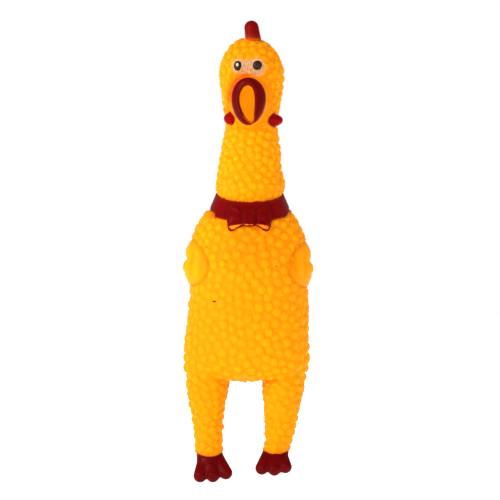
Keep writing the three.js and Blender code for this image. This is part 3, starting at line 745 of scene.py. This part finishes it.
def vinyl(name, gloss, low_rough, high_rough):
    """Translucent yellow vinyl with its sprayed and masked paints."""
    material, tree, shader = new_material(name)
    # Painted light and shade: the tops of the bumps get a lighter yellow, the gaps between them a deeper
    # orange.
    bumps = attribute(tree, "painted_bump_shading")
    grain = noise(tree, 60.0, 2.0)
    level = maths(tree, "ADD", bumps, maths(tree, "MULTIPLY", maths(tree, "SUBTRACT", grain, 0.5), 0.35))
    shades = ((0.0, (0.98, 0.302, 0.0)), (0.45, (1.0, 0.324, 0.0)), (1.0, (1.0, 0.358, 0.0)))
    yellow = ramp(tree, level, shades)
    broad = ramp(tree, noise(tree, 14.0, 1.0), ((0.35, (0.0,) * 3), (0.65, (1.0,) * 3)))
    yellow = mix(tree, maths(tree, "MULTIPLY", broad, 0.35), yellow, (1.0, 0.27, 0.0))
    # Painted shade: darker orange in the creases round the wings.
    yellow = mix(tree, maths(tree, "MULTIPLY", attribute(tree, "crease"), 0.8), yellow, (0.93, 0.20, 0.0))
    orange_tone = (0.90, 0.095, 0.0)
    colour = mix(tree, maths(tree, "MULTIPLY", attribute(tree, "orange"), 0.9), yellow, orange_tone)
    # Painted light: the inside of the mouth is coloured a brighter orange, standing in for light shining
    # through the thin vinyl.
    colour = mix(tree, attribute(tree, "cavity"), colour, (1.0, 0.42, 0.0))
    pale_edge = edge(tree, attribute(tree, "pale"), 1.3, 700.0, 2.0)
    pale_tone = ramp(tree, noise(tree, 1300.0, 4.0), (
        (0.36, (0.38, 0.11, 0.04)), (0.46, (0.56, 0.29, 0.13)), (0.62, (0.76, 0.50, 0.28))))
    colour = mix(tree, maths(tree, "MULTIPLY", pale_edge, 0.92), colour, pale_tone)
    overspray = edge(tree, attribute(tree, "red"), 3.0, 700.0, 3.0)
    colour = mix(tree, maths(tree, "MULTIPLY", overspray, 0.42), colour, (0.65, 0.03, 0.001))
    red_edge = edge(tree, attribute(tree, "red"), 0.4, 520.0, 1.1)
    shade = maths(tree, "ADD", attribute(tree, "tone"), maths(
        tree, "MULTIPLY", maths(tree, "SUBTRACT", noise(tree, 110.0, 3.0), 0.5), 0.5))
    red_tone = ramp(tree, shade, ((0.0, (0.095, 0.0002, 0.0009)), (1.0, (0.30, 0.0008, 0.0008))))
    # Where this mask is set the red fades to orange: at the comb's base that is thinner paint, on the lower
    # inner lip it is partly painted light shining through the lip.
    fade = maths(tree, "MULTIPLY", attribute(tree, "thin_red_and_lip_light"), 0.8)
    red_tone = mix(tree, fade, red_tone, (0.75, 0.11, 0.002))
    colour = mix(tree, red_edge, colour, red_tone)
    speck_edge = edge(tree, attribute(tree, "speck"), 0.3, 900.0, 0.3)
    colour = mix(tree, speck_edge, colour, (0.045, 0.016, 0.004))
    tree.links.new(colour, shader.inputs["Base Color"])
    # The inside of the open mouth gives off a little light of its own. The real toy doesn't.
    lit = mix(tree, attribute(tree, "cavity"), (0.0, 0.0, 0.0), (1.0, 0.50, 0.0))
    tree.links.new(lit, shader.inputs["Emission Color"])
    shader.inputs["Emission Strength"].default_value = 0.24
    rough = ramp(tree, noise(tree, 140.0), ((0.3, (low_rough,) * 3), (0.7, (high_rough,) * 3)))
    tree.links.new(rough, shader.inputs["Roughness"])
    shader.inputs["Subsurface Weight"].default_value = 0.45
    shader.inputs["Subsurface Radius"].default_value = (1.0, 0.35, 0.08)
    shader.inputs["Subsurface Scale"].default_value = 0.004
    shader.inputs["Specular IOR Level"].default_value = gloss
    fine = node(tree, "ShaderNodeBump")
    fine.inputs["Strength"].default_value = 0.12
    fine.inputs["Distance"].default_value = 0.0003
    tree.links.new(noise(tree, 1600.0, 2.0), fine.inputs["Height"])
    tree.links.new(fine.outputs["Normal"], shader.inputs["Normal"])
    return material


def plain(name, low, high, roughness, scale=200.0, transmission=0.0):
    material, tree, shader = new_material(name)
    tree.links.new(ramp(tree, noise(tree, scale), ((0.3, low), (0.7, high))), shader.inputs["Base Color"])
    span = ((0.3, (roughness * 0.85,) * 3), (0.7, (roughness * 1.15,) * 3))
    rough = ramp(tree, noise(tree, scale * 2), span)
    tree.links.new(rough, shader.inputs["Roughness"])
    shader.inputs["Transmission Weight"].default_value = transmission
    return material


VINYL = vinyl("painted_vinyl", 0.04, 0.44, 0.56)
GLOSSY = vinyl("glossy_red_vinyl", 0.05, 0.30, 0.42)
INK = plain("pupil_ink", (0.010, 0.005, 0.002), (0.030, 0.016, 0.006), 0.30, scale=900.0)
ink = INK.node_tree
INK_SHADER = ink.nodes["Principled BSDF"]
INK_SHADER.inputs["Specular IOR Level"].default_value = 0.2
dark = INK_SHADER.inputs["Base Color"].links[0].from_socket
spot = edge(ink, attribute(ink, "glint"), 0.35, 900.0, 0.2)
ink.links.new(mix(ink, spot, dark, (0.80, 0.55, 0.26)), INK_SHADER.inputs["Base Color"])
WHITE_PLASTIC = plain("white_plastic", (0.80, 0.80, 0.77), (0.88, 0.88, 0.85), 0.42)
CLEAR_PLASTIC = plain("clear_plastic", (0.86, 0.90, 0.90), (0.94, 0.96, 0.96), 0.12, transmission=0.85)
FOAM = plain("foam", (0.14, 0.14, 0.135), (0.26, 0.26, 0.25), 0.9, scale=900.0)
for material, names in (
    (WHITE_PLASTIC, (
        "squeaker_barrel", "squeaker_cap", "squeaker_partition", "reed_clamp_out", "reed_clamp_in",
    )),
    (CLEAR_PLASTIC, ("reed_tube_out", "reed_tube_in", "reed_tongue_out", "reed_tongue_in")),
    (FOAM, ("throat_seal",)),
):
    for name in names:
        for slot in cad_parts[name].material_slots:
            slot.material = material

# ------------------------------------------------------------------ pieces on their bodies
RED_PIECES = ("comb", "beak", "collar_band", "bow_tie", "wattle_left", "wattle_right",
              "foot_left", "foot_right")
RIDES = {"torso": ("torso_skin", "collar_band", "bow_tie", "wing_left", "wing_right", "tail"),
         "head": ("comb", "beak", "mouth_lining", "wattle_left", "wattle_right"),
         "foot_left": ("foot_left",), "foot_right": ("foot_right",)}
REPLACES = {"head_skin": ("head_skin", "head_flex", "face_patch"), "neck_skin": ("neck_skin", "neck_flex"),
            "belly_upper": ("belly_skin",), "belly_lower": ("belly_skin",), "mouth_lining": ()}
for side in ("left", "right"):
    REPLACES["hip_" + side] = ("hip_flex_" + side,)
    REPLACES["leg_%s_skin" % side] = ("leg_%s_skin" % side, "ankle_flex_" + side)

names = sorted(set(label))
made = {}
for name in names:
    material, slot = (GLOSSY, "red_vinyl") if name in RED_PIECES else (VINYL, "yellow_vinyl")
    obj = piece("skin_" + name, label == name, material)
    made[name] = obj
    for node_name in REPLACES.get(name, (name,)):
        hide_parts(node_name)
for body, names in RIDES.items():
    for name in names:
        if name in made:
            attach(made[name], body)


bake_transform(made["neck_skin"])
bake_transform(made["head_skin"])
for side in ("left", "right"):
    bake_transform(made["hip_" + side])
    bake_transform(made["leg_%s_skin" % side])
for name, slope in (("belly_upper", -BELLY_RISE["upper"]), ("belly_lower", BELLY_RISE["lower"])):
    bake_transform(made[name])


# ------------------------------------------------------------------ pupils
GLINT = {"right": 1.0, "left": -9.0}  # only the right pupil has the cream spot


def pupil(side):
    at, height, wide, tall = EYES[side]
    c, s = math.cos(HEAD_TURN), math.sin(HEAD_TURN)
    # The highest point of the face's surface at the pupil, found by stepping inwards.
    forwards = np.linspace(26, 10, 400)
    px = HEAD_AXIS_X + at * c - forwards * s
    py = -(forwards * c) - at * s
    inside = skin(px, py, np.full(400, height)) < 0
    forward = forwards[np.argmax(inside)]
    rings, around = 14, 40
    points, faces = [], []
    for i in range(rings + 1):
        share = i / rings
        for k in range(around):
            angle = 2 * math.pi * k / around
            u = at + wide * share * math.cos(angle)
            w = height + tall * share * math.sin(angle)
            out = forward + 0.8 * math.sqrt(max(0.0, 1 - share**2)) - 0.45 * share**2
            points.append((HEAD_AXIS_X + u * c - out * s, -out * c - u * s, w))
            if i < rings:
                faces.append((i * around + k, i * around + (k + 1) % around,
                              (i + 1) * around + (k + 1) % around, (i + 1) * around + k))
    mesh = bpy.data.meshes.new("pupil_" + side)
    mesh.from_pydata([[v * MM for v in p] for p in points], [], faces)
    mesh.polygons.foreach_set("use_smooth", np.ones(len(faces), bool))
    glint = [GLINT[side] - math.hypot((p[0] - points[0][0] + 0.3) / 0.8, (p[2] - height - 0.8) / 1.15)
             for p in points]
    mesh.attributes.new("glint", "FLOAT", "POINT").data.foreach_set("value", glint)
    mesh.update()
    obj = bpy.data.objects.new("pupil_" + side, mesh)
    bpy.context.scene.collection.objects.link(obj)
    mesh.materials.append(INK)
    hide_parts("eye_" + side)
    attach(obj, "head")


pupil("left")
pupil("right")

# ------------------------------------------------------------------ floor, light, camera
scene = bpy.context.scene
scene.view_settings.view_transform = "Standard"
FLOOR_Z = -0.1235
bpy.ops.mesh.primitive_plane_add(size=1, location=(0, 0, FLOOR_Z))
floor = bpy.context.object
floor.name = "floor"
floor.scale = (8, 8, 1)
floor_material, floor_tree, floor_shader = new_material("floor")
floor_tree.links.new(ramp(floor_tree, noise(floor_tree, 3.0), ((0.3, (0.90,) * 3), (0.7, (0.93,) * 3))),
                     floor_shader.inputs["Base Color"])
floor_shader.inputs["Roughness"].default_value = 0.9
# The floor gives off light, which keeps it pale under the object.
floor_shader.inputs["Emission Color"].default_value = (1, 1, 1, 1)
floor_shader.inputs["Emission Strength"].default_value = 0.7
floor.data.materials.append(floor_material)

# The world is white where the camera sees it directly, dimmer as a light, and dimmest in reflections.
WORLD_LIGHT, LESS_IN_REFLECTIONS = 0.72, 0.45
world = bpy.data.worlds.new("studio")
scene.world = world
world.use_nodes = True
seen = world.node_tree.nodes["Background"]
seen.inputs["Color"].default_value = (1, 1, 1, 1)
lighting = world.node_tree.nodes.new("ShaderNodeBackground")
lighting.inputs["Color"].default_value = (1, 1, 1, 1)
rays = world.node_tree.nodes.new("ShaderNodeLightPath")
dimmed = maths(world.node_tree, "MULTIPLY", rays.outputs["Is Glossy Ray"], -LESS_IN_REFLECTIONS)
world.node_tree.links.new(maths(world.node_tree, "ADD", dimmed, WORLD_LIGHT), lighting.inputs["Strength"])
either = world.node_tree.nodes.new("ShaderNodeMixShader")
world.node_tree.links.new(rays.outputs["Is Camera Ray"], either.inputs[0])
world.node_tree.links.new(lighting.outputs[0], either.inputs[1])
world.node_tree.links.new(seen.outputs[0], either.inputs[2])
world.node_tree.links.new(either.outputs[0], world.node_tree.nodes["World Output"].inputs[0])


def area_light(name, place, target, size, power):
    data = bpy.data.lights.new(name, "AREA")
    data.shape = "DISK"
    data.size = size
    data.energy = power
    obj = bpy.data.objects.new(name, data)
    scene.collection.objects.link(obj)
    obj.location = place
    obj.rotation_euler = (Vector(target) - Vector(place)).to_track_quat("-Z", "Y").to_euler()


area_light("key", (-0.95, -0.75, 0.45), (0, 0, 0.03), 0.6, 9.0)
area_light("front", (0.1, -1.4, 0.3), (0, 0, 0.03), 0.9, 2.5)

camera_data = bpy.data.cameras.new("camera")
camera = bpy.data.objects.new("camera", camera_data)
scene.collection.objects.link(camera)
scene.camera = camera
camera_data.sensor_width = 36
DISTANCE, VIEW_WIDTH = 2.4, 0.3355
camera_data.lens = 36 * DISTANCE / VIEW_WIDTH
camera_data.clip_end = 20
AIM = Vector((0.001, 0, 0.0336))
ELEVATION = math.radians(0.5)
camera.location = AIM + Vector((0, -math.cos(ELEVATION), math.sin(ELEVATION))) * DISTANCE
camera.rotation_euler = (AIM - camera.location).to_track_quat("-Z", "Y").to_euler()
